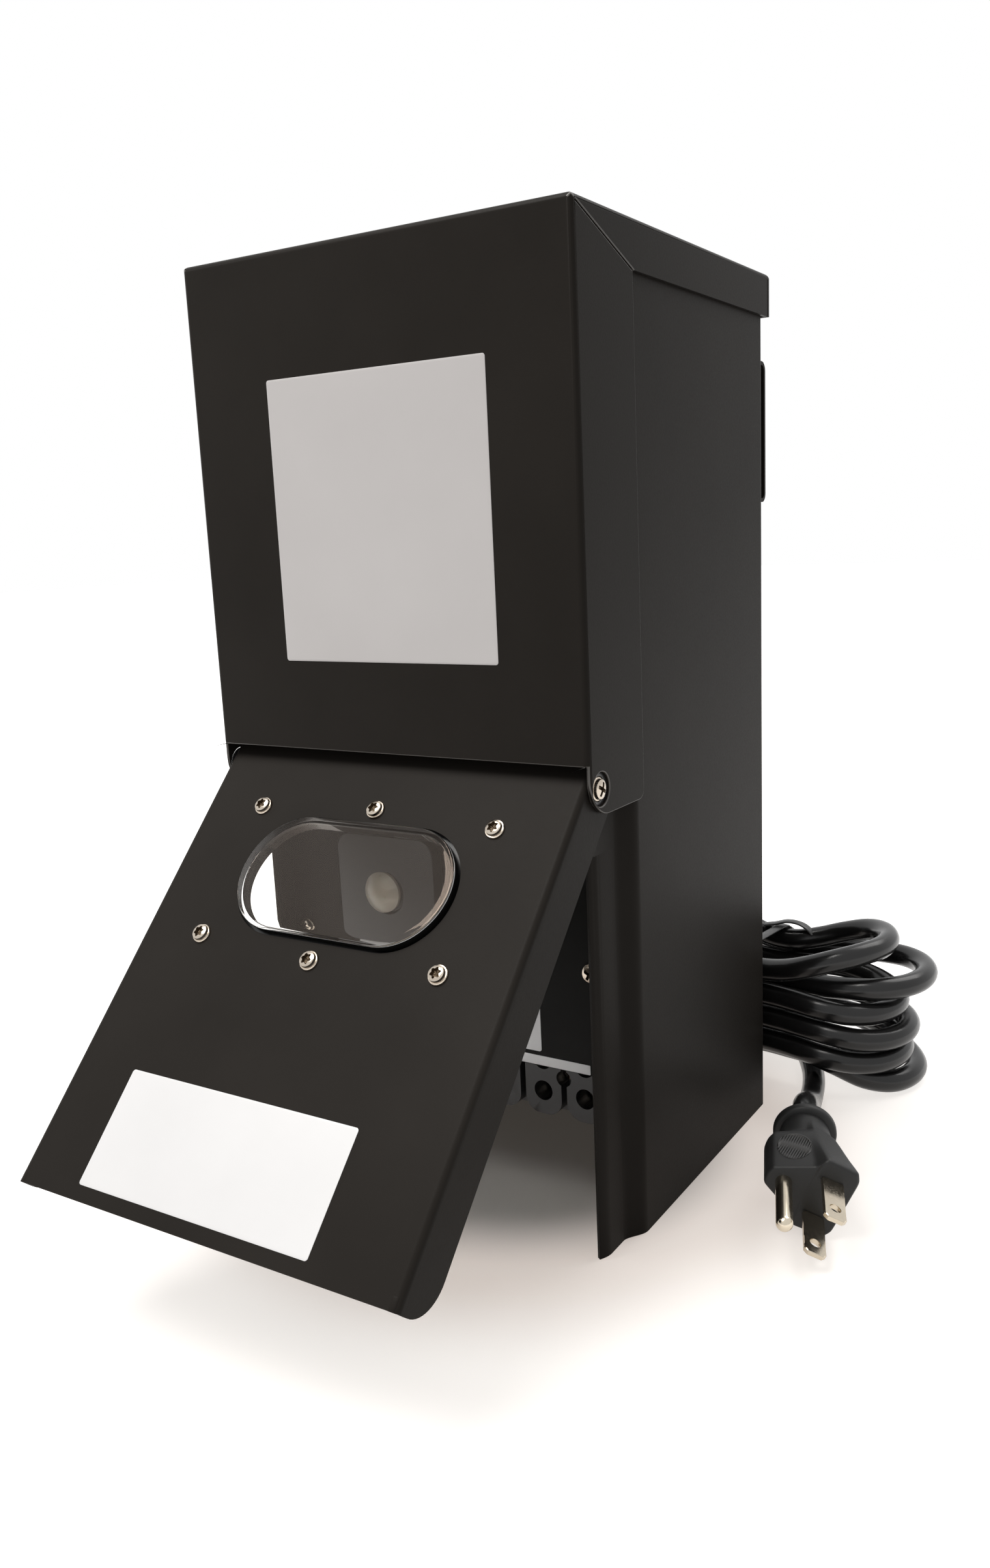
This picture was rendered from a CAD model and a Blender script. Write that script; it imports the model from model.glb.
# %% [markdown]
# # A garden light transformer, piece by piece
# The real object is a folded sheet metal box with a hood, a door with a window, a bundle of mains
# cord and a plug. The measured solids come in ready made. This lesson gives them their finishes,
# and builds anew, from formulas, the pieces whose rounding the eye notices: screws, pane, cord,
# plug, tie and labels.

import bmesh
import bpy
import numpy as np
from mathutils import Matrix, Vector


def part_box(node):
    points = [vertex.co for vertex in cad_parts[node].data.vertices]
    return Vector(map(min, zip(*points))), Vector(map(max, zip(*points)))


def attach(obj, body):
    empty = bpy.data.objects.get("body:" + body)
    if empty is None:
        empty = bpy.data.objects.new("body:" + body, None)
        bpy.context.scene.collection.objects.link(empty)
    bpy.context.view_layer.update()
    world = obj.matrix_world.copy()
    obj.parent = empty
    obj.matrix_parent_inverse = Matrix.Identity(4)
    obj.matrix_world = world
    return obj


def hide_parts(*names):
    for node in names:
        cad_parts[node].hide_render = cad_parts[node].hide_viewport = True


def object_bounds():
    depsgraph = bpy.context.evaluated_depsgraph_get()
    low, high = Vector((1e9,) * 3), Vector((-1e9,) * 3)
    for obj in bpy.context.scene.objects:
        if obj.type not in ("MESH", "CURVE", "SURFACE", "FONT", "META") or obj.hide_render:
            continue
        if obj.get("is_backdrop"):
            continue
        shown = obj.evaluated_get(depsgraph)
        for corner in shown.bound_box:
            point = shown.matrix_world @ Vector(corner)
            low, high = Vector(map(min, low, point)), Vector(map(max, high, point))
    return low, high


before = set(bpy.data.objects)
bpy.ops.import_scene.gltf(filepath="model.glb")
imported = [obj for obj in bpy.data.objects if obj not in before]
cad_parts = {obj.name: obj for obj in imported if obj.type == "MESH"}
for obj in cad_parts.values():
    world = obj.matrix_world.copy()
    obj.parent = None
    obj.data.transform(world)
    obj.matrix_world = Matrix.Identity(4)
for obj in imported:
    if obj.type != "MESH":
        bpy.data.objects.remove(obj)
cad_low, cad_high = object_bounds()
print("solids:", len(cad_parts), "size in mm:", [round(1000 * v, 1) for v in cad_high - cad_low])

# %% [markdown]
# The solids were drawn in millimetres, with Y counted back from the hood's front face, and with the
# door shut. Working in the same way keeps every number readable. Two small functions carry such
# points to metres in the scene: one for the fixed case, and one that also swings the door's points
# open about the hinge.

# %% Millimetres on the case, millimetres on the door
FRONT_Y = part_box("hood")[0].y
HINGE = np.array([0.0, 6.3, 137.6])
OPEN = np.radians(43.0)
SIDES = (-1, 1)


def on_case(points):
    """Millimetres in the case's frame to metres in the scene."""
    p = np.asarray(points, float) / 1000.0
    return p + np.array([0.0, FRONT_Y, 0.0])


def on_door(points):
    """Turn by the opening angle about the hinge line: y and z mix by cosine and sine, x stays."""
    p = np.asarray(points, float) - HINGE
    c, s = np.cos(OPEN), np.sin(OPEN)
    y = p[..., 1] * c + p[..., 2] * s
    z = p[..., 2] * c - p[..., 1] * s
    turned = np.stack([p[..., 0], y, z], axis=-1)
    return on_case(turned + HINGE)


# %% [markdown]
# The photograph was taken from close by, a little above and to the right, with a wide lens. Its
# camera was found from the case's own corners. A close camera shows the strong narrowing towards
# the floor, which a long lens from far away could never give. The three small helpers in front
# serve the pieces and the lamps as well.

# %% Camera
AZIMUTH, ELEVATION, ROLL = 0.5485, 0.1989, -0.0399
CAMERA_PLACE = on_case([212.75, -272.37, 202.24])
FOCAL_PX, TALL_PX, SENSOR_MM = 1927.76, 2408.0, 36.0
SHIFT_PX = (-58.9, 6.7)
UP = [0.0, 0.0, 1.0]


def unit(vectors):
    """Vectors over their own length."""
    return vectors / np.linalg.norm(vectors, axis=-1, keepdims=True)


def linked(name, data):
    """A new object with this data, linked into the scene."""
    made = bpy.data.objects.new(name, data)
    bpy.context.scene.collection.objects.link(made)
    return made


def placed(*columns):
    """Three axes and a place, as the columns of a matrix."""
    return Matrix(np.vstack([np.column_stack(columns), [0, 0, 0, 1]]).tolist())


def camera_axes(azimuth, elevation, roll):
    """The view looks along minus back. Right is level, up is square to both, and both then roll."""
    back = np.array([np.sin(azimuth) * np.cos(elevation), -np.cos(azimuth) * np.cos(elevation),
                     np.sin(elevation)])
    right = unit(np.cross(-back, UP))
    up = np.cross(right, -back)
    c, s = np.cos(roll), np.sin(roll)
    return c * right + s * up, c * up - s * right, back


camera_data = bpy.data.cameras.new("camera")
camera_data.sensor_fit = "VERTICAL"
camera_data.sensor_width = SENSOR_MM
camera_data.sensor_height = SENSOR_MM
camera_data.lens = SENSOR_MM * FOCAL_PX / TALL_PX
camera_data.shift_x = SHIFT_PX[0] / TALL_PX
camera_data.shift_y = SHIFT_PX[1] / TALL_PX
camera_data.clip_start = 0.01
camera = linked("camera", camera_data)
camera.matrix_world = placed(*camera_axes(AZIMUTH, ELEVATION, ROLL), CAMERA_PLACE)
bpy.context.scene.camera = camera
print("lens in mm:", round(camera_data.lens, 2))

# %% [markdown]
# Most new pieces here are skins: a grid of points that is worked out in one go from two
# parameters. A few helpers make such grids, turn them into faces and collect several of them in
# one mesh. Each grid wraps round like a tube, and its two ends can close on a middle point.

# %% Grids to meshes
def full_circle(steps, start=0.0):
    """Even angles once round. The first one is the given share of a step."""
    return 2 * np.pi * (np.arange(steps) + start) / steps


def turned(radius, level, around):
    """Rows of radius and level, carried once round the Z axis. A row may vary on its way round."""
    a = full_circle(around)
    r, z = (np.broadcast_to(np.reshape(v, (len(v), -1)), (len(v), around)) for v in (radius, level))
    return np.stack([r * np.cos(a), r * np.sin(a), z], axis=-1)


def upright(flat, y):
    """Flat points of X and Z, all at one depth."""
    return np.column_stack([flat[:, 0], np.full(len(flat), y), flat[:, 1]])


def grid_faces(rows, columns):
    """Each cell of the grid gives one face, and the last column joins the first."""
    i, j = np.meshgrid(np.arange(rows - 1), np.arange(columns), indexing="ij")
    n = (j + 1) % columns
    corners = [i * columns + j, i * columns + n, (i + 1) * columns + n, (i + 1) * columns + j]
    return np.stack(corners, axis=-1).reshape(-1, 4)


def skin(grid, ends=(True, True)):
    """A grid of points as (points, faces). Each closed end is a fan to the middle of its ring."""
    rows, columns = grid.shape[:2]
    points = grid.reshape(-1, 3)
    faces = [tuple(f) for f in grid_faces(rows, columns).tolist()]
    ring = np.arange(columns)
    for at, closed in ((0, ends[0]), (rows - 1, ends[1])):
        if closed:
            points = np.vstack([points, grid[at].mean(axis=0)])
            a, b = at * columns + ring, at * columns + (ring + 1) % columns
            if at == 0:
                a, b = b, a
            faces += [(int(p), int(q), len(points) - 1) for p, q in zip(a, b)]
    return points, faces


def joined(parts):
    """Several (points, faces) as one, each part's numbers moved past those before it."""
    starts = np.cumsum([0] + [len(p) for p, _ in parts])
    points = np.vstack([p for p, _ in parts])
    faces = [tuple(int(v + start) for v in f) for (_, fs), start in zip(parts, starts) for f in fs]
    return points, faces


def declared(name, mesh, body, replaces):
    """A mesh as an object: the body it rides and the solids it stands for."""
    made = linked(name, mesh)
    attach(made, body)
    if replaces:
        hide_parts(*replaces)
    print(name, "faces:", len(mesh.polygons))
    return made


def piece(name, parts, material, body, replaces=(), smooth_angle=50.0, dark=None, dark_parts=()):
    """One object from its parts. Faces are turned outwards, and edges sharper than the angle stay crisp."""
    points, faces = joined(parts)
    mesh = bpy.data.meshes.new(name)
    mesh.from_pydata(points.tolist(), [], faces)
    mesh.materials.append(material)
    if dark:
        mesh.materials.append(dark)
        marks = np.concatenate([np.full(len(fs), int(k in dark_parts)) for k, (_, fs) in enumerate(parts)])
        mesh.polygons.foreach_set("material_index", marks)
    tidy = bmesh.new()
    tidy.from_mesh(mesh)
    bmesh.ops.remove_doubles(tidy, verts=tidy.verts, dist=1e-7)
    bmesh.ops.recalc_face_normals(tidy, faces=tidy.faces)
    tidy.to_mesh(mesh)
    tidy.free()
    mesh.shade_smooth()
    mesh.set_sharp_from_angle(angle=np.radians(smooth_angle))
    return declared(name, mesh, body, replaces)


# %% [markdown]
# A finish is a small network of nodes on one shader. Noise in the object's own coordinates varies
# roughness and bump, so that the pattern stays put when the piece moves. Scales are per metre:
# noise of scale 1000 has grains of about a millimetre. Most finishes have such a grain. Wire turns,
# core leaves and the plug's grips have bands instead.

# %% A helper for finishes
MIDDLE_RANGE = (0.3, 0.7)


def grey(level):
    """The same level of red, green and blue."""
    return (level, level, level)


def finish_nodes(name, color, roughness, metallic=0.0, **sockets):
    """A material with one shader. Extra sockets are named with underscores for spaces."""
    material = bpy.data.materials.new(name)
    material.use_nodes = True
    tree = material.node_tree
    shader = tree.nodes["Principled BSDF"]
    shader.inputs["Base Color"].default_value = (*color, 1.0)
    shader.inputs["Roughness"].default_value = roughness
    shader.inputs["Metallic"].default_value = metallic
    for key, value in sockets.items():
        shader.inputs[key.replace("_", " ")].default_value = value
    return material, tree, shader


def add_node(tree, kind, sources, **values):
    """A new node with these input values, named as above, and with its inputs linked to their sources."""
    made = tree.nodes.new(kind)
    for key, value in values.items():
        made.inputs[key.replace("_", " ")].default_value = value
    for key, source in sources.items():
        tree.links.new(source, made.inputs[key])
    return made


def own_place(tree):
    """The object's own coordinates."""
    return add_node(tree, "ShaderNodeTexCoord", {}).outputs["Object"]


def noise(tree, scale, detail):
    """Noise in object coordinates."""
    grain = add_node(tree, "ShaderNodeTexNoise", {"Vector": own_place(tree)}, Scale=scale, Detail=detail)
    return grain.outputs["Fac"]


def spread_between(tree, factor, low, high):
    """Maps a factor's middle range to values from low to high."""
    spread = add_node(tree, "ShaderNodeMapRange", {"Value": factor}, From_Min=MIDDLE_RANGE[0],
                      From_Max=MIDDLE_RANGE[1], To_Min=low, To_Max=high)
    return spread.outputs["Result"]


def shades(tree, factor, dark, light):
    """Maps a factor's middle range to colours from dark to light."""
    ramp = add_node(tree, "ShaderNodeValToRGB", {"Fac": factor})
    for stop, position, color in zip(ramp.color_ramp.elements, MIDDLE_RANGE, (dark, light)):
        stop.position = position
        stop.color = (*color, 1.0)
    return ramp.outputs["Color"]


def higher(tree, first, second):
    """The higher of two values."""
    choice = add_node(tree, "ShaderNodeMath", {0: first, 1: second})
    choice.operation = "MAXIMUM"
    return choice.outputs["Value"]


def add_bump(tree, shader, height, strength, distance):
    """Tilts the shading by a height field, distance in metres."""
    bump = add_node(tree, "ShaderNodeBump", {"Height": height}, Strength=strength, Distance=distance)
    tree.links.new(bump.outputs["Normal"], shader.inputs["Normal"])


def grained(name, dark, light, rough, scale, bump, metallic=0.0, color_scale=25.0, **sockets):
    """A finish whose colour drifts slowly, and whose roughness and bump follow a fine grain."""
    material, tree, shader = finish_nodes(name, dark, rough[0], metallic, **sockets)
    drift = noise(tree, color_scale, 4.0)
    fine = noise(tree, scale, 3.0)
    tree.links.new(shades(tree, drift, dark, light), shader.inputs["Base Color"])
    tree.links.new(spread_between(tree, fine, *rough), shader.inputs["Roughness"])
    add_bump(tree, shader, fine, *bump)
    return material


def banded(name, axes, scale, dark, light, roughness, metallic, bump):
    """A finish whose colour and bump follow bands across an axis, or the higher of two such bands."""
    material, tree, shader = finish_nodes(name, dark, roughness, metallic)
    factor = None
    for axis in axes:
        bands = add_node(tree, "ShaderNodeTexWave", {"Vector": own_place(tree)}, Scale=scale)
        bands.bands_direction = axis
        factor = higher(tree, factor, bands.outputs["Fac"]) if factor else bands.outputs["Fac"]
    tree.links.new(shades(tree, factor, dark, light), shader.inputs["Base Color"])
    add_bump(tree, shader, factor, *bump)
    return material


# %% [markdown]
# Powder coat is sprayed as dust and baked. It flows into a satin film with a very fine orange
# peel, darker than grey paint, with a soft wide gleam. A low base colour, middle roughness and a
# bump with grains of about half a millimetre give that. Over a cut edge the film is thin and looks
# paler. The inner sheets carry a slightly duller coat.

# %% Sheet metal finishes
powder_coat = grained("powder_coat", (0.0188, 0.0165, 0.0145), (0.0232, 0.0205, 0.0181), (0.40, 0.47),
                      1700.0, (0.18, 0.0001), Specular_IOR_Level=0.045)
coat_edge = grained("coat_edge", (0.062, 0.057, 0.051), (0.080, 0.073, 0.066), (0.34, 0.44), 1700.0,
                    (0.10, 0.0001))
dark_sheet = grained("dark_sheet", (0.0105, 0.0102, 0.0098), (0.0140, 0.0136, 0.0130), (0.46, 0.56),
                     2100.0, (0.06, 0.0001), Specular_IOR_Level=0.08)
print("coats:", powder_coat.name, coat_edge.name, dark_sheet.name)

# %% [markdown]
# Metals take their colour from their reflection. Screws are polished stainless steel, the prongs
# are nickel plated with a warm cast, and the clamp inserts are brass. Turning marks are a fine
# noise that mainly varies the roughness. The windings show their turns and the core its leaves.

# %% Bright metals
BARE_BUMP = (0.05, 0.00005)
screw_steel = grained("screw_steel", (0.46, 0.40, 0.33), (0.60, 0.53, 0.45), (0.12, 0.26), 2600.0,
                      BARE_BUMP, 1.0)
screw_recess = grained("screw_recess", (0.10, 0.075, 0.05), (0.17, 0.13, 0.09), (0.35, 0.50), 2600.0,
                       BARE_BUMP, 1.0)
prong_metal = grained("prong_metal", (0.50, 0.44, 0.35), (0.62, 0.55, 0.44), (0.12, 0.26), 1500.0,
                      BARE_BUMP, 1.0, 60.0)
brass_metal = grained("brass_metal", (0.72, 0.52, 0.22), (0.84, 0.64, 0.30), (0.20, 0.32), 1800.0,
                      BARE_BUMP, 1.0)
copper_wire = banded("copper_wire", "Z", 190.0, (0.30, 0.11, 0.04), (0.70, 0.31, 0.13), 0.34, 0.85,
                     (0.6, 0.0005))
core_steel = banded("core_steel", "Y", 320.0, (0.07, 0.07, 0.075), (0.20, 0.20, 0.21), 0.45, 0.7,
                    (0.4, 0.0003))
print("metals:", screw_steel.name, prong_metal.name, brass_metal.name, copper_wire.name)

# %% [markdown]
# Plastics here are nearly black too, so gloss is what tells them apart: the cord's vinyl is the
# shiniest, the moulded plug is dull with a fine spark eroded grain, and the terminal block is in
# between. The dome over the light sensor is milky, so light enters and scatters under its skin. The
# pane is clear, with a dark finish for its outer wall.

# %% Plastics, rubber and paper
cord_vinyl = grained("cord_vinyl", (0.011, 0.011, 0.0115), (0.017, 0.0165, 0.0165), (0.17, 0.25), 420.0,
                     (0.06, 0.0002), Specular_IOR_Level=0.38)
plug_plastic = grained("plug_plastic", grey(0.014), grey(0.020), (0.42, 0.54), 3200.0, (0.22, 0.0001),
                       Specular_IOR_Level=0.3)
block_plastic = grained("block_plastic", (0.016, 0.016, 0.017), (0.024, 0.024, 0.025), (0.34, 0.46),
                        2400.0, (0.12, 0.0001))
gasket_rubber = grained("gasket_rubber", grey(0.010), grey(0.016), (0.60, 0.72), 1300.0, (0.25, 0.0002))
tie_vinyl = grained("tie_vinyl", grey(0.011), grey(0.018), (0.30, 0.42), 900.0, (0.12, 0.0001))
nylon = grained("nylon", (0.60, 0.58, 0.52), (0.72, 0.70, 0.64), (0.36, 0.48), 1200.0, (0.08, 0.0001))
red_plastic = grained("red_plastic", (0.45, 0.02, 0.015), (0.55, 0.03, 0.02), (0.22, 0.32), 900.0,
                      (0.05, 0.0001))
lead_black = grained("lead_black", grey(0.012), grey(0.020), (0.30, 0.42), 900.0, (0.08, 0.0001))
lead_red = grained("lead_red", (0.32, 0.012, 0.010), (0.42, 0.020, 0.016), (0.30, 0.42), 900.0,
                   (0.08, 0.0001))
label_satin = grained("label_satin", (0.62, 0.60, 0.60), (0.67, 0.65, 0.65), (0.34, 0.46), 600.0,
                      (0.05, 0.0001), color_scale=18.0)
label_white = grained("label_white", (0.80, 0.80, 0.81), (0.86, 0.86, 0.87), (0.30, 0.42), 600.0,
                      (0.05, 0.0001), color_scale=18.0)
milky_dome = grained("milky_dome", (0.46, 0.36, 0.29), (0.54, 0.43, 0.35), (0.26, 0.36), 700.0,
                     (0.05, 0.0001), Subsurface_Weight=0.25)
clear_pane, pane_tree, pane_shader = finish_nodes(
    "clear_pane", (0.96, 0.95, 0.93), 0.02, Transmission_Weight=1.0, IOR=1.33, Specular_IOR_Level=0.3,
    Specular_Tint=(1.0, 0.80, 0.66, 1.0))
add_bump(pane_tree, pane_shader, noise(pane_tree, 40.0, 0.0), 0.02, 0.0004)
pane_wall = grained("pane_wall", grey(0.006), grey(0.010), (0.18, 0.26), 900.0, (0.04, 0.0001))
print("finishes:", len(bpy.data.materials))

# %% [markdown]
# Folded sheets are never razor sharp: the shear leaves a burr, and the coat rounds it. The solids'
# triangles are welded in a copy, flat areas are cleaned up, and a narrow Bevel rounds every edge
# sharper than thirty degrees, which gives each rim its thin line of light. On the hood only the
# edges in front of a given depth are rounded, picked by weight, in a finish of their own.

# %% Sheet metal with rounded edges
SHARP, FLAT = np.radians(30.0), np.radians(0.6)
WELD_WIDTH, ROUNDED_DEPTH = 2e-6, 0.118


def soft_edged(node, body, material, slot, width_mm, edge=None):
    """A welded copy of a solid. All its sharp edges are rounded, or the front ones in their own finish."""
    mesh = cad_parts[node].data.copy()
    mesh.name = node + "_skin"
    weld = bmesh.new()
    weld.from_mesh(mesh)
    bmesh.ops.remove_doubles(weld, verts=weld.verts, dist=WELD_WIDTH)
    bmesh.ops.dissolve_limit(weld, angle_limit=FLAT, verts=weld.verts, edges=weld.edges)
    if edge:
        weights = weld.edges.layers.float.new("bevel_weight_edge")
        for line in weld.edges:
            sharp = len(line.link_faces) == 2 and line.calc_face_angle() > SHARP
            line[weights] = float(sharp and all(v.co.y < FRONT_Y + ROUNDED_DEPTH for v in line.verts))
    weld.to_mesh(mesh)
    weld.free()
    mesh.shade_smooth()
    mesh.set_sharp_from_angle(angle=SHARP)
    mesh.materials.clear()
    mesh.materials.append(material)
    rounding = declared(mesh.name, mesh, body, [node]).modifiers.new("rounding", "BEVEL")
    rounding.width = width_mm / 1000.0
    rounding.segments = 2
    rounding.limit_method = "WEIGHT" if edge else "ANGLE"
    rounding.angle_limit = SHARP
    rounding.harden_normals = True
    rounding.use_clamp_overlap = edge is None
    if edge:
        mesh.materials.append(edge)
        rounding.material = 1


for row in (("hood", "case", powder_coat, "powder_coat", 0.3, coat_edge),
            ("case_shell", "case", powder_coat, "powder_coat", 0.22),
            ("door_panel", "door", powder_coat, "powder_coat", 0.22),
            ("wall_bracket", "case", powder_coat, "powder_coat", 0.22),
            ("inner_panel", "case", dark_sheet, "dark_sheet", 0.2),
            ("terminal_block", "case", block_plastic, "black_plastic", 0.3),
            ("sensor_housing", "case", block_plastic, "black_plastic", 0.4)):
    soft_edged(*row)

# %% [markdown]
# The pieces inside keep their measured meshes and only take a finish. Their edges are hidden by the
# sheets in front of them, so rounding them would cost faces that nobody sees.

# %% Finishes for the measured pieces
KEPT = {
    "dark_sheet": (dark_sheet, ["wiring_floor", "terminal_bracket", "bracket_rivets"]),
    "screw_steel": (screw_steel, ["hood_screws", "panel_nuts", "terminal_screws", "breaker_nut",
                                  "hinge_nuts", "window_nuts", "core_bolts", "core_nuts"]),
    "brass_insert": (brass_metal, ["terminal_inserts"]),
    "black_plastic": (block_plastic, ["sensor_nut", "breaker_body", "hinge_spacers"]),
    "red_button": (red_plastic, ["breaker_button"]),
    "gasket_rubber": (gasket_rubber, ["window_gasket"]),
    "nylon": (nylon, ["bobbin"]),
    "core_steel": (core_steel, ["core"]),
    "copper_wire": (copper_wire, ["primary_winding", "secondary_winding"]),
    "lead_black": (lead_black, ["mains_leads"]),
    "lead_red": (lead_red, ["low_voltage_leads"]),
    "cord_black": (plug_plastic, ["strain_relief"]),
}
for slot_name, (material, nodes) in KEPT.items():
    for node in nodes:
        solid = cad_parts[node]
        solid.data.materials.clear()
        solid.data.materials.append(material)
print("measured pieces kept:", sum(len(nodes) for _, nodes in KEPT.values()))

# %% [markdown]
# The mains cord leaves its bushing, turns into six flat loops laid on each other, and comes out
# below to end in the plug. Its middle line repeats the loop formulas of the solids, and a spline
# through the points smooths them.

# %% The cord's middle line
CORD_R = 4.0
CASE_DEPTH = 126.0
HANK_LEFT, HANK_Y, HANK_R = -16.0, 32.0, 22.0
WAIST_X, WAIST_HALF, WIDEST_X = 50.0, 18.0, 78.0
FIRST_Z, LEVEL_RISE = 13.6, 8.9
SETTLE, MOVE_BACK, MOVE_END = (10.0, 52.0), 7.6, 35.0
# For each loop from below: its tip's X and Z, its Z behind the case, whether it moves back, and the
# X from which it rises or droops
LOOPS = [(104, 4.2, 13.6, 1, 70), (101, 14.3, 17.9, 0, 66), (103, 23, 26.7, 0, 67), (99, 31.9, 35.5, 0, 67),
         (107, 41, 40.1, 1, 72), (95, 54, 44.6, 0, 53)]
TURN_X = HANK_LEFT + HANK_R
LEAD_IN = [(-40, 16, 73), (-39.3, 23.4, 72.4), (-37.1, 30.5, 70.7), (-33.6, 37.1, 68.3),
           (-28.9, 42.9, 65.6), (-23.1, 47.6, 62.8), (-16.5, 51.1, 60.4), (-9.4, 53.3, 58.7)]
LEAD_OUT = [(20.5, 54, 4), (27, 54, 4), (33.5, 54, 4), (39.8, 54, 4), (46, 53, 4), (52.2, 50.3, 4),
            (58, 45.9, 4), (62.7, 39.9, 4), (66.5, 33.3, 4), (69.9, 26.4, 4), (72.9, 19.3, 4),
            (75.3, 12.1, 4), (77.2, 4.9, 4), (78.9, -2.2, 4.4), (80.7, -9.1, 6.2), (82.6, -15.8, 9.4),
            (84.5, -22.2, 13.2), (86.4, -28.6, 16.6), (88.2, -34.8, 18.9), (90.1, -40.8, 19.8)]


def ease(t):
    """Three t squared less two t cubed: leaves and arrives level."""
    t = np.clip(t, 0.0, 1.0)
    return t * t * (3.0 - 2.0 * t)


def double_bend(t):
    """One even curve from zero to a half, then its mirror image to one."""
    t = np.clip(t, 0.0, 1.0)
    return np.where(t < 0.5, 2.0 * t * t, 1.0 - 2.0 * (1.0 - t) ** 2)


def half_width(x, end):
    """Half the loop's width at x: full at both ends, drawn in by a cosine to the waist."""
    reach = np.where(x > WAIST_X, min(end, WIDEST_X) - WAIST_X, WAIST_X - TURN_X)
    share = (1.0 + np.cos(np.pi * np.minimum(np.abs(x - WAIST_X) / reach, 1.0))) / 2.0
    return HANK_R - (HANK_R - WAIST_HALF) * share


def height(x, level):
    """From straight above each other the loops settle to their resting places, then rise or droop."""
    if level < 0:
        return np.full_like(x, CORD_R)
    tip_x, tip_z, rest_z, _, leave_x = LOOPS[level]
    z = FIRST_Z + LEVEL_RISE * level
    z = z + (rest_z - z) * double_bend((x - SETTLE[0]) / (SETTLE[1] - SETTLE[0]))
    return z + (tip_z - rest_z) * ease((x - leave_x) / (tip_x - leave_x))


def middle_y(x, level):
    """Between its two runs a loop is at one depth. Some move back on their way to the right."""
    return HANK_Y + MOVE_BACK * LOOPS[level][3] * double_bend((x - TURN_X) / (MOVE_END - TURN_X))


def one_loop(level, run_steps=8, arc_steps=7):
    """Far run, right turn, near run, and a left turn that steps down one level."""
    end = LOOPS[level][0] - HANK_R
    run = np.arange(run_steps) / run_steps
    arc = np.arange(arc_steps) / arc_steps
    far_x = TURN_X + (end - TURN_X) * run
    near_x = end - (end - TURN_X) * run
    turn = np.pi * (0.5 - arc)
    right_x = end + HANK_R * np.cos(turn)
    left_x = TURN_X - HANK_R * np.sin(np.pi * arc)
    left_z = height(left_x, level)
    left_z = left_z + (height(left_x, level - 1) - left_z) * ease(arc)
    return np.vstack([
        np.column_stack([x, middle_y(x, level) + y, height(x, level)])
        for x, y in ((far_x, half_width(far_x, end)), (right_x, HANK_R * np.sin(turn)),
                     (near_x, -half_width(near_x, end)))
    ] + [np.column_stack([left_x, HANK_Y - HANK_R * np.cos(np.pi * arc), left_z])])


def spline(points, steps):
    """Catmull-Rom: each span is a cubic that leaves a point along the line between its neighbours."""
    p = np.vstack([points[0], points, points[-1]])
    a, b, c, d = p[:-3, None], p[1:-2, None], p[2:-1, None], p[3:, None]
    t = (np.arange(steps) / steps)[None, :, None]
    curve = b + 0.5 * t * (c - a + t * (2 * a - 5 * b + 4 * c - d + t * (3 * (b - c) + d - a)))
    return np.vstack([curve.reshape(-1, 3), points[-1]])


# %% [markdown]
# The plug lies on its side, so it has axes of its own: prongs point along Z, the two blades stand
# at plus and minus Y, and the ground pin is at minus X. One matrix carries it into the scene, and
# the cord's last points follow from where its neck ends.

# %% Where the plug lies
PLUG_PLACE = np.array([108.6, -79.2, 13.8])
YAW, PITCH, PLUG_ROLL = np.radians([20.6, -6.1, -24.4])
PLUG_TOP, PLUG_LOW = 7.2, -16.2
PLUG_L, NECK_L = 33.0, 4.0
PLUG_MID = (PLUG_TOP + PLUG_LOW) / 2.0
PLUG_CENTRE = np.array([PLUG_MID, 0.0])


def turn_about(axis, angle):
    """The usual rotation matrix about one axis."""
    return np.array(Matrix.Rotation(angle, 3, axis))


PLUG_TURN = (turn_about("Z", YAW) @ turn_about("X", -PITCH) @ turn_about("X", np.pi / 2)
             @ turn_about("Z", PLUG_ROLL))


def behind(points):
    """Millimetres with Y counted from the case's back wall to metres in the scene."""
    return on_case(np.asarray(points, float) + np.array([0.0, CASE_DEPTH, 0.0]))


def on_plug(points):
    """Millimetres in the plug's own frame to metres in the scene."""
    return behind(np.asarray(points, float) @ PLUG_TURN.T + PLUG_PLACE)


plug_tail = np.array([PLUG_MID, 0.0, -PLUG_L - NECK_L]) @ PLUG_TURN.T + PLUG_PLACE
top_z = FIRST_Z + LEVEL_RISE * (len(LOOPS) - 1)
route = np.vstack([
    LEAD_IN,
    [(TURN_X - 2 * CORD_R, HANK_Y + HANK_R, top_z)],
    *[one_loop(level) for level in range(len(LOOPS) - 1, -1, -1)],
    [(TURN_X, HANK_Y + HANK_R, CORD_R), (TURN_X + 2 * CORD_R, HANK_Y + HANK_R, CORD_R)],
    LEAD_OUT,
    [plug_tail],
])
cord_line = behind(spline(route, 5))

# %% [markdown]
# A circle is carried along the middle line, square to it at each point, and the whole cord becomes
# one tube. The tie's free end is made in the same way later, from a flatter outline.

# %% The cord's skin
CORD_SIDES = 20


def offsets(line, wide, high):
    """A section's points from each point of a line: wide is level, high is square to it and the line."""
    ahead = unit(np.gradient(line, axis=0))
    side = unit(np.cross(ahead, UP))
    over = np.cross(side, ahead)
    return wide[:, None] * side[:, None] + high[:, None] * over[:, None]


angle = full_circle(CORD_SIDES)
cord_skin = cord_line[:, None] + CORD_R / 1000.0 * offsets(cord_line, np.cos(angle), np.sin(angle))
cord = piece("mains_cord", [skin(cord_skin)], cord_vinyl, "case",
             ["cord_lead_in", "cord_hank", "cord_lead_out"], 60.0)

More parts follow.
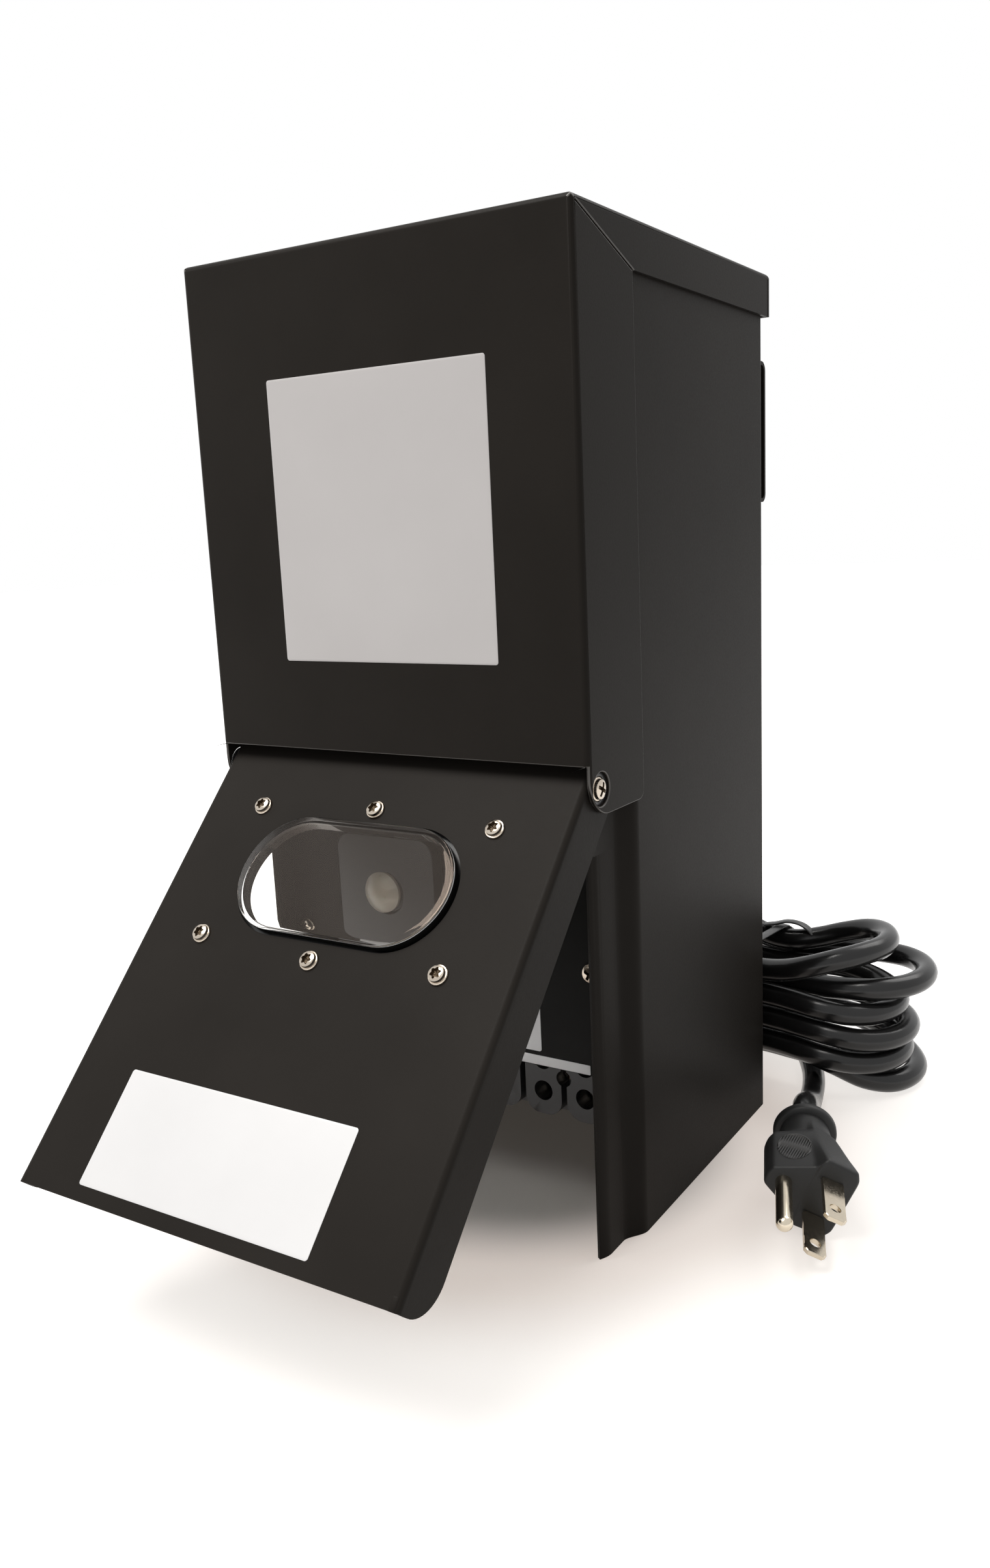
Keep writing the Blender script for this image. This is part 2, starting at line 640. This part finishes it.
# %% [markdown]
# The moulded plug has two parts that share a collar. A lobe round the ground pin keeps its size for
# two thirds of the length and has a flat on each side for the fingers. A block behind the blades is
# wider, with square shoulders, and narrows all the way back. A step runs between them. The outline
# of a section is a row of corners that is run through evenly, softened, and mirrored; behind the
# lobe it turns into a circle for the collar and the neck.

# %% The plug's body
RING, SOFTENINGS = 192, 4
GRIP_TURN, GRIP_PLANE = np.radians(27.6), 10.6
# Place behind the face, size share, the block's end, half width and inner corner, the lobe's size
# share, the share of a circle and its radius
GRIP_PART = [
    (0.0, 0.93, 7.2, 12.4, -3.85, 1, 0, 8), (0.25, 0.965, 7.2, 12.4, -3.85, 1, 0, 8),
    (0.8, 0.99, 7.2, 12.4, -3.85, 1, 0, 8), (1.6, 1, 7.1, 12.3, -3.9, 1, 0, 8),
    (4, 1, 6.5, 11.8, -4.0, 1, 0, 8), (8, 1, 5.5, 10.85, -4.4, 1, 0, 8),
    (12, 1, 4.6, 10.0, -4.7, 1, 0, 8), (16, 1, 3.7, 9.2, -5.0, 1, 0, 8),
    (17.5, 1, 3.4, 8.9, -5.1, 0.985, 0.02, 8), (18.8, 1, 3.1, 8.7, -5.2, 0.95, 0.05, 8),
    (19.8, 1, 3.0, 8.55, -5.3, 0.90, 0.1, 8), (20.6, 1, 2.9, 8.45, -5.4, 0.84, 0.18, 8),
    (21.2, 1, 2.85, 8.35, -5.5, 0.78, 0.3, 8), (21.8, 1, 2.8, 8.3, -5.6, 0.72, 0.45, 7.9),
    (22.5, 1, 2.75, 8.2, -5.6, 0.68, 0.6, 7.9), (24, 1, 2.8, 8.1, -5.6, 0.66, 0.75, 7.8),
    (26, 1, 2.8, 8.0, -5.6, 0.65, 0.9, 7.7)]
# Place and radius of the full circles, from the waist over the collar to the neck
ROUND_PART = [(28.4, 7.6), (29.0, 7.7), (29.2, 8.8), (29.5, 9.3), (30.2, 9.6), (31.6, 9.6), (32.3, 9.2),
              (32.6, 8.0), (32.9, 5.6), (33.2, 5.15), (37.0, 4.7)]
BODY = np.array(GRIP_PART + [(place, 1, 2.8, 8, -5.6, 0.65, 1, radius) for place, radius in ROUND_PART])
CORNER_SHARES = (0.0, 0.12, 0.2, 0.42, 0.52, 0.84, 0.93, 1.0)
LOBE_END, LOBE_CORNER = -17.3, (-16.6, 3.2)


def plug_section(place, size, end, half, inner, lobe, round_share, round_r):
    """Corners from the block's end to the lobe's tip, run through, softened, mirrored and rounded."""
    foot = inner - 2.1
    foot_y = (GRIP_PLANE + foot * np.sin(GRIP_TURN)) / np.cos(GRIP_TURN)
    upper = np.array([(end, 0.0), (end, half * 0.75), (end - 1.4, half * 0.96), (inner, half),
                      (foot, min(foot_y, half - 0.4)), LOBE_CORNER, (LOBE_END + 0.1, 1.4),
                      (LOBE_END, 0.0)])
    upper[4:] = (upper[4:] - PLUG_CENTRE) * lobe + PLUG_CENTRE
    t = 2.0 * np.arange(RING) / RING - 1.0
    x, y = (np.interp(np.abs(t), CORNER_SHARES, upper[:, k]) for k in range(2))
    outline = np.column_stack([x, y * np.where(t < 0, -1.0, 1.0)])
    for _ in range(SOFTENINGS):
        outline = (np.roll(outline, 1, axis=0) + 2.0 * outline + np.roll(outline, -1, axis=0)) / 4.0
    out = (outline - PLUG_CENTRE) * size
    circle = round_r * out / np.linalg.norm(out, axis=1, keepdims=True)
    flat = out * (1.0 - round_share) + circle * round_share + PLUG_CENTRE
    return np.column_stack([flat, np.full(RING, -place)])


plug_grid = np.stack([plug_section(*row) for row in BODY])

# %% [markdown]
# A round grip sits on each flat of the lobe. It is a shallow dish with a raised rim, and its floor
# carries a fine raised mesh, so that fingers hold.

# %% Grip dishes
GRIP_X, GRIP_Z, GRIP_R, GRIP_STRETCH = -11.1, -10.4, 5.0, 1.3
DISH_R, DISH_DEPTH = 0.87, 0.06


def grip_disc(side, around=56):
    """Height over the flat by radius: a low round rim, then a dish that is deepest in the middle."""
    out = np.array([-np.sin(GRIP_TURN), side * np.cos(GRIP_TURN), 0.0])
    flat_y = side * (GRIP_PLANE + GRIP_X * np.sin(GRIP_TURN)) / np.cos(GRIP_TURN)
    along = np.array(UP)
    across = np.cross(out, along)
    dish = np.linspace(DISH_R, 0.02, 9)
    r = np.concatenate([[1.0, 1.0, 0.97, 0.93, 0.9], dish])[:, None, None]
    h = np.concatenate([[-0.5, 0.05, 0.16, 0.16, 0.08], 0.05 - DISH_DEPTH * (1 - (dish / DISH_R) ** 2)])
    a = full_circle(around)[None, :, None]
    flat = GRIP_R * r * (np.cos(a) * across + GRIP_STRETCH * np.sin(a) * along)
    return on_plug(np.array([GRIP_X, flat_y, GRIP_Z]) + flat + h[:, None, None] * out)


print("plug sections:", len(BODY), "points on each:", RING)

# %% [markdown]
# The mesh on the grips is a pattern of crossing ridges under a millimetre apart. Two sets of bands
# at right angles give it as colour and bump, in the object's own coordinates.

# %% Grip finish and the plug's pieces
grip_mesh = banded("grip_mesh", "XZ", 420.0, grey(0.002), (0.030, 0.029, 0.028), 0.5, 0.0, (0.8, 0.0004))
plug_body = piece("plug_shell", [skin(on_plug(plug_grid))], plug_plastic, "case",
                  ["plug_body"])
plug_grips = piece("plug_grips", [skin(grip_disc(side)) for side in SIDES], grip_mesh, "case")

# %% [markdown]
# The blades are stamped strips with a hole near the tip and chamfered corners, and the ground pin
# is a rod with a round nose. The strip is four outlines round its middle: the two faces, and the
# same outlines drawn in a little for the rounded edges. The hole is a ring of its own.

# %% Blades and ground pin
BLADE_GAP, PRONG_W, PRONG_T, PRONG_L = 12.7, 6.35, 1.5, 17.5
HOLE_Z, HOLE_R, HOLE_EDGE = 12.9, 1.6, 0.12
CHAMFER, EDGE_R, TINY = 1.05, 0.18, 1e-9
PIN_X, PIN_R, PIN_L = -11.9, 2.4, 20.8


def blade(side, around=64):
    """Rings from the hole's rim to the strip's edge on each face, joined over edge and hole."""
    a = full_circle(around, 0.5)
    ray = np.column_stack([np.cos(a), np.sin(a)])
    middle = np.array([0.0, HOLE_Z])
    hole = middle + HOLE_R * ray
    rim = hole * [1.06, 1.0]
    half, t = PRONG_W / 2.0, PRONG_T / 2.0
    to_side = half / np.maximum(np.abs(ray[:, 0]), TINY)
    to_end = np.where(ray[:, 1] > 0, PRONG_L - HOLE_Z, HOLE_Z) / np.maximum(np.abs(ray[:, 1]), TINY)
    leaning = np.maximum(np.abs(ray[:, 0]) + np.maximum(ray[:, 1], 0), TINY)
    slant = (half + PRONG_L - HOLE_Z - CHAMFER) / leaning
    reach = np.minimum(np.minimum(to_side, to_end), slant)[:, None]
    edge = ray * reach + middle
    inner = edge + (middle - edge) * (EDGE_R / np.maximum(reach, TINY))
    layers = [(hole, t - HOLE_EDGE), (rim, t), (inner, t), (edge, t - EDGE_R), (edge, -t + EDGE_R),
              (inner, -t), (rim, -t), (hole, -t + HOLE_EDGE), (hole, t - HOLE_EDGE)]
    rings = [upright(flat, side * BLADE_GAP / 2.0 + y) for flat, y in layers]
    return skin(on_plug(np.stack(rings)), ends=(False, False))


def turned_pin(around=40):
    """Radius by height: a straight shank, then a quarter circle to the nose."""
    nose = np.linspace(0.0, np.pi / 2 - 0.05, 10)
    r = np.concatenate([[PIN_R, PIN_R], PIN_R * np.cos(nose)])
    z = np.concatenate([[-1.0, 9.0], PIN_L - PIN_R + PIN_R * np.sin(nose)])
    return skin(on_plug(turned(r, z, around) + [PIN_X, 0.0, 0.0]))


plug_blades = piece("plug_prongs", [blade(side) for side in SIDES], prong_metal, "case",
                    ["plug_blades"], 40.0)
plug_pin = piece("plug_pin", [turned_pin()], prong_metal, "case", ["ground_pin"], 40.0)

# %% [markdown]
# A tie holds the loops at their waist: a flat vinyl strap with a wire core. It is pulled tight, so
# its path is the outer outline of all the runs at that place, a little wider than the cord. Its free
# end lies on the top run.

# %% Twist tie
TIE_X, TIE_W, TIE_T, TIE_GAP, TIE_LEAN = 45.5, 4.0, 0.9, 0.35, 3.0
# The free end's X, Y and height over the top run
TAIL = [(43.5, 47.5, 0.9), (47.5, 48.5, 1.5), (52.0, 49.5, 2.6), (56.5, 50.0, 2.2), (60.0, 50.0, 0.6),
        (62.0, 50.0, -1.5)]


def hull(points):
    """The points' outer outline, walked once from left to right below and once back above."""
    def half(ordered):
        kept = []
        for p in ordered:
            while len(kept) > 1 and np.cross(kept[-1] - kept[-2], p - kept[-1]) <= 0:
                kept.pop()
            kept.append(p)
        return kept[:-1]

    ordered = points[np.lexsort((points[:, 1], points[:, 0]))]
    return np.array(half(ordered) + half(ordered[::-1]))


def strap_profile(steps=12):
    """A flattened oval: powers below one of cosine and sine square its shoulders."""
    b = full_circle(steps)
    wide = (TIE_W / 2.0) * np.sign(np.cos(b)) * np.abs(np.cos(b)) ** 0.4
    thick = (TIE_T / 2.0) * np.sign(np.sin(b)) * np.abs(np.sin(b)) ** 0.8
    return wide, thick


def tie_loop(around=150):
    """A strap round the outline of all runs at its place: an even path, with the profile along it."""
    x = np.array([TIE_X + TIE_W / 2.0])
    a = full_circle(72)
    ring = (CORD_R + TIE_GAP + TIE_T / 2.0) * np.column_stack([np.cos(a), np.sin(a)])
    rounds = []
    for level, (tip_x, *_) in enumerate(LOOPS):
        for way in SIDES:
            y = middle_y(x, level) + way * half_width(x, tip_x - HANK_R)
            rounds.append(ring + np.column_stack([y, height(x, level)]))
    outline = hull(np.vstack(rounds))
    outline = np.vstack([outline, outline[:1]])
    gone = np.concatenate([[0.0], np.cumsum(np.linalg.norm(np.diff(outline, axis=0), axis=1))])
    even = np.linspace(0.0, gone[-1], around, endpoint=False)
    path = np.column_stack([np.interp(even, gone, outline[:, k]) for k in range(2)])
    ahead = unit(np.roll(path, -1, axis=0) - np.roll(path, 1, axis=0))
    wide, thick = strap_profile()
    y = path[:, :1] + thick * ahead[:, 1:]
    z = path[:, 1:] - thick * ahead[:, :1]
    lean = TIE_LEAN * (path[:, :1] - HANK_Y) / (WAIST_HALF + MOVE_BACK)
    grid = np.stack([x + wide + lean, y, z], axis=-1)
    return skin(behind(np.vstack([grid, grid[:1]])), ends=(False, False))


def tie_tail():
    """The strap's free end: it lies along the top run, arches a little, and dips behind it."""
    top = float(height(np.array([TIE_X]), len(LOOPS) - 1)[0]) + CORD_R
    middle = spline(np.array(TAIL) + [0.0, 0.0, top], 6)
    return skin(behind(middle[:, None] + offsets(middle, *strap_profile())))


tie = piece("twist_tie", [tie_loop(), tie_tail()], tie_vinyl, "case", ["cord_tie"])

# %% [markdown]
# The window is one clear moulding: a raised stadium with a rounded rim, and a flange behind the
# door. Rings of the outline, drawn in step by step, run over the front, round the rim, and back
# over the hollow inside. Light then bends at both faces, as it does in the real pane. The wall from
# the rim back to the flange lies against the door, so it gets a dark finish.

# %% Window pane
PANE_W, PANE_H, PANE_Z = 71.0, 36.0, 100.3
PANE_FRONT, PANE_BACK, PANE_T = -0.5, 5.5, 2.0
FLANGE_W, FLANGE_H, FLANGE_R, FLANGE_Z, FLANGE_FRONT = 90.0, 56.0, 6.0, 99.7, 3.5
# How far outlines are drawn in near the middle and for the wall, and the radii of rim and hollow
PANE_MIDDLE, WALL_OUT, WALL_IN, RIM_R, HOLLOW_R = 17.9, 0.5, 1.6, 0.5, 0.4
AROUND, RIM_STEPS = 128, 7


def rounded_rectangle(width, tall, radius, middle_z):
    """Four quarter circles round the inner corners, all run through by one angle."""
    a = 2 * np.pi * (np.arange(AROUND) + 0.5) / AROUND
    x = np.sign(np.cos(a)) * (width / 2.0 - radius) + radius * np.cos(a)
    z = np.sign(np.sin(a)) * (tall / 2.0 - radius) + radius * np.sin(a)
    return np.column_stack([x, middle_z + z])


def stadium(inset):
    """The rounded rectangle whose corners have half its height as radius, drawn in by the inset."""
    return rounded_rectangle(PANE_W - 2 * inset, PANE_H - 2 * inset, PANE_H / 2.0 - inset, PANE_Z)


def pane_rings():
    """(outline, depth) pairs from the front's middle, over rim and flange, to the hollow's middle."""
    rim = np.linspace(0.0, np.pi / 2, RIM_STEPS)
    flange = rounded_rectangle(FLANGE_W, FLANGE_H, FLANGE_R, FLANGE_Z)
    hollow = PANE_FRONT + PANE_T
    rings = [(stadium(inset), PANE_FRONT) for inset in (PANE_MIDDLE, 3.0, 1.3)]
    rings += [(stadium(WALL_OUT + RIM_R - RIM_R * np.sin(t)), PANE_FRONT + RIM_R - RIM_R * np.cos(t))
              for t in rim]
    rings += [(stadium(WALL_OUT), FLANGE_FRONT), (flange, FLANGE_FRONT), (flange, PANE_BACK),
              (stadium(WALL_IN), PANE_BACK)]
    rings += [(stadium(WALL_IN + HOLLOW_R * (1 - np.cos(t))), hollow + HOLLOW_R - HOLLOW_R * np.sin(t))
              for t in rim]
    return rings + [(stadium(4.0), hollow), (stadium(PANE_MIDDLE), hollow)]


pane_grid = np.stack([upright(flat, y) for flat, y in pane_rings()])
CUTS = [0, RIM_STEPS + 2, RIM_STEPS + 4, len(pane_grid) - 1]
pane_parts = [skin(on_door(pane_grid[first:last + 1]), ends=(first == 0, last == CUTS[-1]))
              for first, last in zip(CUTS, CUTS[1:])]
piece("window_pane", pane_parts, clear_pane, "door", ["window_lens"], 40.0, pane_wall, {1})

# %% [markdown]
# All visible screws have a round crown that stands on a flat flange, and a recess for the driver.
# The recess is an outline in polar form: six soft lobes on the window's screws, a cross on the
# others. Rings run from that outline to the flange's rim, and further rings go down into the recess,
# whose walls get a darker finish, since light hardly finds its way out of it.

# %% Screw heads
# Shares of a head's radius and height: first the flange, later the recess, counted down from its rim
FLANGE = [(0.805, 0.62), (0.82, 0.42), (0.84, 0.35), (0.93, 0.34), (0.98, 0.26), (1.0, 0.14), (1.0, 0.0)]
CROWN_R, CROWN_BALL, CROWN_H = 0.78, 0.9, 0.55
CROWN_STEPS = np.array([0.0, 0.12, 0.35, 0.62, 1.0])[:, None]
CUP = np.array([(1.0, 0.0), (0.97, 0.06), (0.88, 0.56), (0.5, 0.62), (0.05, 0.70)])
TO_FRONT = (0, -1, 0)
HINGE_SEAT, MOUNT_X, PANEL_Y = 61.48, 2.5 * 100.0 / 7.0, 19.0
WINDOW_SCREWS = [(-39.8, 20.65), (-39.8, -20.65), (0.0, 22.9), (0.0, -22.9), (39.8, 20.65), (39.8, -20.65)]
CARRY = {"case": on_case, "door": on_door}


def star_outline(a):
    """Six lobes: a circle whose radius swings with six times the angle."""
    return 0.50 + 0.085 * np.cos(6 * a)


def cross_outline(a):
    """Two crossed bars: each reaches a limit along its axis, and its half width over the sine beside it."""
    bars = [np.minimum(0.60, 0.15 / np.maximum(np.abs(wave), 1e-6)) for wave in (np.sin(a), np.cos(a))]
    return np.maximum(*bars)


def screw(place, axis, turn, head_r, head_h, pin_r, length, outline, carry, around=84):
    """Two skins, head with shank and recess. Heights are counted from the seat."""
    hole = outline(full_circle(around) + turn)[None, :]
    crown_r = hole + (CROWN_R - hole) * CROWN_STEPS
    crown_h = CROWN_H + (1 - CROWN_H) * np.sqrt(1 - (crown_r / CROWN_BALL) ** 2)
    pin = np.array([(pin_r, 0.0), (pin_r, 0.4 - length), (0.7 * pin_r, -length)]) / [head_r, head_h]
    below = np.vstack([FLANGE, pin])
    r = np.vstack([crown_r, np.broadcast_to(below[:, :1], (len(below), around))])
    h = np.vstack([crown_h, np.broadcast_to(below[:, 1:], (len(below), around))])
    axis = np.asarray(axis, float)
    side = unit(np.cross(axis, UP))
    basis = np.stack([side, np.cross(axis, side), axis])
    return [skin(carry(turned(head_r * radius, head_h * level, around) @ basis + place), ends=(False, True))
            for radius, level in ((r, h), (hole * CUP[:, :1], crown_h[:1] - CUP[:, 1:]))]


for name, body, node, sizes, outline, seats in (
        ("window_screw_set", "door", "window_screws", (2.8, 1.9, 1.5, 6.9), star_outline,
         [((x, 1.5, FLANGE_Z + dz), TO_FRONT, 0.4 + 1.3 * i) for i, (x, dz) in enumerate(WINDOW_SCREWS)]),
        ("hinge_screw_set", "case", "hinge_screws", (3.3, 1.9, 1.75, 8.88), cross_outline,
         [((side * HINGE_SEAT, HINGE[1], HINGE[2]), (side, 0, 0), 0.5) for side in SIDES]),
        ("panel_screw_set", "case", "panel_screws", (3.0, 2.0, 1.5, 6.0), cross_outline,
         [((side * 51.5, PANEL_Y, 82.0), TO_FRONT, 0.5) for side in SIDES]),
        ("mount_screw_set", "case", "terminal_mount_screws", (2.3, 1.6, 1.4, 15.4), cross_outline,
         [((side * MOUNT_X, 33.0, 43.5), TO_FRONT, 0.4) for side in SIDES])):
    skins = [one for seat in seats for one in screw(*seat, *sizes, outline, CARRY[body])]
    piece(name, skins, screw_steel, body, [node], 40.0, screw_recess,
          set(range(1, len(skins), 2)))

# %% [markdown]
# A black plastic ring fills the play between each hinge screw's head and the hole in the hood's ear.
# It keeps daylight out, and it is the dark circle that sets off the bright head.

# %% Rings round the hinge screws
def hinge_ring(side, inner=3.34, outer=4.42, around=72):
    """A small section of radius and height over the screw's seat, carried once round the hinge line."""
    section = np.array([(inner, 0.05), (outer - 0.12, 0.05), (outer, 0.14), (outer, 0.55),
                        (outer - 0.12, 0.64), (inner + 0.1, 0.64), (inner, 0.54), (inner, 0.05)])
    ring = turned(*section.T, around)[..., [2, 0, 1]] * [side, 1, 1]
    return skin(on_case(ring + [side * HINGE_SEAT, HINGE[1], HINGE[2]]), ends=(False, False))


piece("hinge_rings", [hinge_ring(side) for side in SIDES], block_plastic, "case", (), 40.0)

# %% [markdown]
# The door's sheet is slit at its lower corners, where front and flange are bent apart. Weld fills
# each slit and is ground flush, so that the coat runs over it. Each weld repeats the sheet's own
# section, from the flat round the fold, a few hundredths of a millimetre proud.

# %% Welds in the door's lower corners
FOLD_X, FOLD_Y, FOLD_R, DOOR_SHEET = 59.6, 3.3, 1.8, 1.2
TURN_OUT, TURN_IN = np.radians([0, 8, 16, 24, 31, 35]), np.radians([90, 72, 54, 36, 18, 0])
# Height of a section, and how far it stands out from the sheet
WELD_SECTIONS = [(4.46, -0.03), (4.48, 0.02), (4.52, 0.04), (7.5, 0.04), (7.65, 0.02), (7.8, -0.08)]


def corner_weld(side):
    """The section at each height: flat and outer arc, then inner arc and flat, all moved out by a hair."""
    front, back = FOLD_Y - FOLD_R, FOLD_Y - FOLD_R + DOOR_SHEET
    rows = []
    for z, proud in WELD_SECTIONS:
        outer, inner = (
            np.column_stack([FOLD_X + radius * np.sin(turn), FOLD_Y - radius * np.cos(turn)])
            for radius, turn in ((np.array([FOLD_R + proud] * 5 + [FOLD_R - 0.08]), TURN_OUT),
                                 (FOLD_R - DOOR_SHEET - proud, TURN_IN)))
        flat = np.vstack([[(58.8, front + 0.08), (59.0, front - proud), (59.3, front - proud)], outer,
                          inner, [(59.0, back + proud), (58.8, back - 0.08)]])
        rows.append(np.column_stack([side * flat[:, 0], flat[:, 1], np.full(len(flat), z)]))
    return skin(on_door(np.stack(rows)))


piece("door_corner_welds", [corner_weld(side) for side in SIDES], powder_coat, "door")

# %% [markdown]
# The light sensor looks out through a shallow milky dome, part of a ball with a short foot. It is
# turned like the screws, from a profile of radius and height.

# %% Sensor dome
DOME_R, DOME_H, DOME_X, DOME_Z, DOME_SEAT = 6.25, 2.2, -16.6, 98.5, 14.0


def dome(around=64, rings=20):
    """Radius and height on a ball of radius (r squared plus h squared) over two h."""
    ball = (DOME_R**2 + DOME_H**2) / (2 * DOME_H)
    t = np.linspace(np.arcsin(DOME_R / ball), 0.02, rings)
    r = np.concatenate([[DOME_R], ball * np.sin(t)])
    h = np.concatenate([[-1.0], DOME_H - ball + ball * np.cos(t)])
    cap = turned(r, -h, around)[..., [0, 2, 1]]
    return skin(on_case(cap + [DOME_X, DOME_SEAT, DOME_Z]))


piece("sensor_dome", [dome()], milky_dome, "case", ["sensor_lens"])

# %% [markdown]
# Four printed labels sit on the real object. Their print is left off, and the blank white stickers
# stay: thin plates with small round corners. One formula serves all: a rounded rectangle, drawn in
# at its rim, a tenth of a millimetre thick.

# %% Blank labels
def sticker(x0, z0, x1, z1, face_y, radius, thick=0.12):
    """Rings from the back rim over the edge to the front's middle."""
    rings = []
    for inset, y in ((0.0, 0.0), (0.0, -thick * 0.7), (0.1, -thick), (0.6, -thick)):
        flat = rounded_rectangle(x1 - x0 - 2 * inset, z1 - z0 - 2 * inset, radius, (z0 + z1) / 2.0)
        rings.append(upright(flat + [(x0 + x1) / 2.0, 0.0], face_y + y))
    return np.stack(rings)


for name, corners, face_y, radius, finish, body, slot in (
        ("label_hood", (-34.5, 169.7, 37.3, 246.7), 0.0, 0.8, label_satin, "case", "powder_coat"),
        ("label_door", (-40.5, 8.4, 34.7, 39.2), 1.5, 0.8, label_white, "door", "powder_coat"),
        ("label_panel", (-31.0, 55.4, 34.0, 79.0), PANEL_Y, 0.8, label_white, "case", "dark_sheet"),
        ("label_strip", (-50.0, 51.2, 50.0, 54.1), PANEL_Y, 0.3, label_white, "case", "dark_sheet")):
    piece(name, [skin(CARRY[body](sticker(*corners, face_y, radius)))], finish, body, (), 30.0)

# %% [markdown]
# The cord is declared with its real length and width. Its plug pieces and the tie go with it.

print("cord declared, far end at:", [round(float(v), 3) for v in cord_line[-1]])

# %% [markdown]
# The object was photographed on a white table in a bright room, and the background was washed to
# white. The floor shows white to the camera and to reflections, and still darkens where the object
# shades it, because part of its brightness is its own and part comes from the lamps. Its own part is
# small under the case and rises with distance.

# %% Floor
def seen_directly(tree):
    """One for rays from the camera, from mirrors and through glass. Zero for those that light things."""
    path = add_node(tree, "ShaderNodeLightPath", {}).outputs
    mirrors = higher(tree, path["Is Camera Ray"], path["Is Glossy Ray"])
    return higher(tree, mirrors, path["Is Transmission Ray"])


FLOOR_HALF, FLOOR_Z = 6.0, -0.0001
# Metres from the case's middle, and the floor's own brightness there
GLOW_STOPS = [(0.045, (0.04, 0.035, 0.03)), (0.08, (0.52, 0.46, 0.42)), (0.125, (0.76, 0.73, 0.70)),
              (0.18, (0.93, 0.92, 0.91)), (0.30, (1.0, 1.0, 1.0))]
floor_mesh = bpy.data.meshes.new("floor")
floor_corners = [(x * FLOOR_HALF, y * FLOOR_HALF, FLOOR_Z) for x, y in ((-1, -1), (1, -1), (1, 1), (-1, 1))]
floor_mesh.from_pydata(floor_corners, [], [(0, 1, 2, 3)])
linked("floor", floor_mesh)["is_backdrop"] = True
floor_finish, floor_tree, floor_shader = finish_nodes("floor", (0.50, 0.49, 0.48), 0.6,
                                                      Specular_IOR_Level=0.1)
floor_mesh.materials.append(floor_finish)
floor_reach = add_node(floor_tree, "ShaderNodeVectorMath", {0: own_place(floor_tree)})
floor_reach.operation = "DISTANCE"
floor_reach.inputs[1].default_value = (0.0, FRONT_Y + CASE_DEPTH / 2000.0, 0.0)
own_share = add_node(floor_tree, "ShaderNodeValToRGB", {"Fac": floor_reach.outputs["Value"]})
stops = own_share.color_ramp.elements
own_share.color_ramp.interpolation = "EASE"
for at, tone in GLOW_STOPS:
    stops.new(at).color = (*tone, 1.0)
stops.remove(stops[0])
stops.remove(stops[-1])
glow = add_node(floor_tree, "ShaderNodeEmission",
                {"Color": own_share.outputs["Color"], "Strength": seen_directly(floor_tree)})
both = add_node(floor_tree, "ShaderNodeAddShader",
                {0: floor_shader.outputs["BSDF"], 1: glow.outputs["Emission"]})
floor_tree.links.new(both.outputs["Shader"], floor_tree.nodes["Material Output"].inputs["Surface"])
print("floor corners:", len(floor_mesh.vertices), "brightness stops:", len(GLOW_STOPS))

# %% [markdown]
# The world is a plain soft light. The camera, mirrors and glass see it as white, and everything
# else gets it at a lower level. Two large lamps shape the metal: the stronger one hangs high in
# front on the left and gives the door and the hood their even gleam, and a weaker one shines from
# high behind on the right.

# %% World and lamps
world = bpy.data.worlds.new("world")
bpy.context.scene.world = world
world.use_nodes = True
sky = world.node_tree
sky_light = sky.nodes["Background"]
sky_light.inputs["Color"].default_value = (1.0, 1.0, 1.0, 1.0)
SKY_FOR_LIGHTING = 0.26
sky_level = add_node(sky, "ShaderNodeMapRange", {"Value": seen_directly(sky)}, To_Min=SKY_FOR_LIGHTING,
                     To_Max=1.0)
sky.links.new(sky_level.outputs["Result"], sky_light.inputs["Strength"])


def soft_lamp(name, place, target, size, watts, color):
    """A square area lamp that looks from its place at a target."""
    data = bpy.data.lights.new(name, "AREA")
    data.shape = "SQUARE"
    data.size = size
    data.energy = watts
    data.color = color
    look = unit(np.subtract(target, place))
    side = unit(np.cross(look, UP))
    linked(name, data).matrix_world = placed(side, np.cross(side, look), -look, place)


soft_lamp("key", (-0.36, -0.6, 1.55), (0.0, 0.0, 0.1), 0.9, 26.0, (1.0, 0.975, 0.94))
soft_lamp("rear", (0.5, 1.0, 1.5), (0.1, 0.0, 0.0), 1.0, 10.0, (1.0, 0.98, 0.96))
bpy.context.scene.view_settings.view_transform = "Standard"
print("lamps:", len(bpy.data.lights))

# %% Check and finish
made_low, made_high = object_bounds()
box_change = np.array([made_low - cad_low, made_high - cad_high], float)
print("box difference in mm:", np.round(1000 * box_change, 2).tolist())
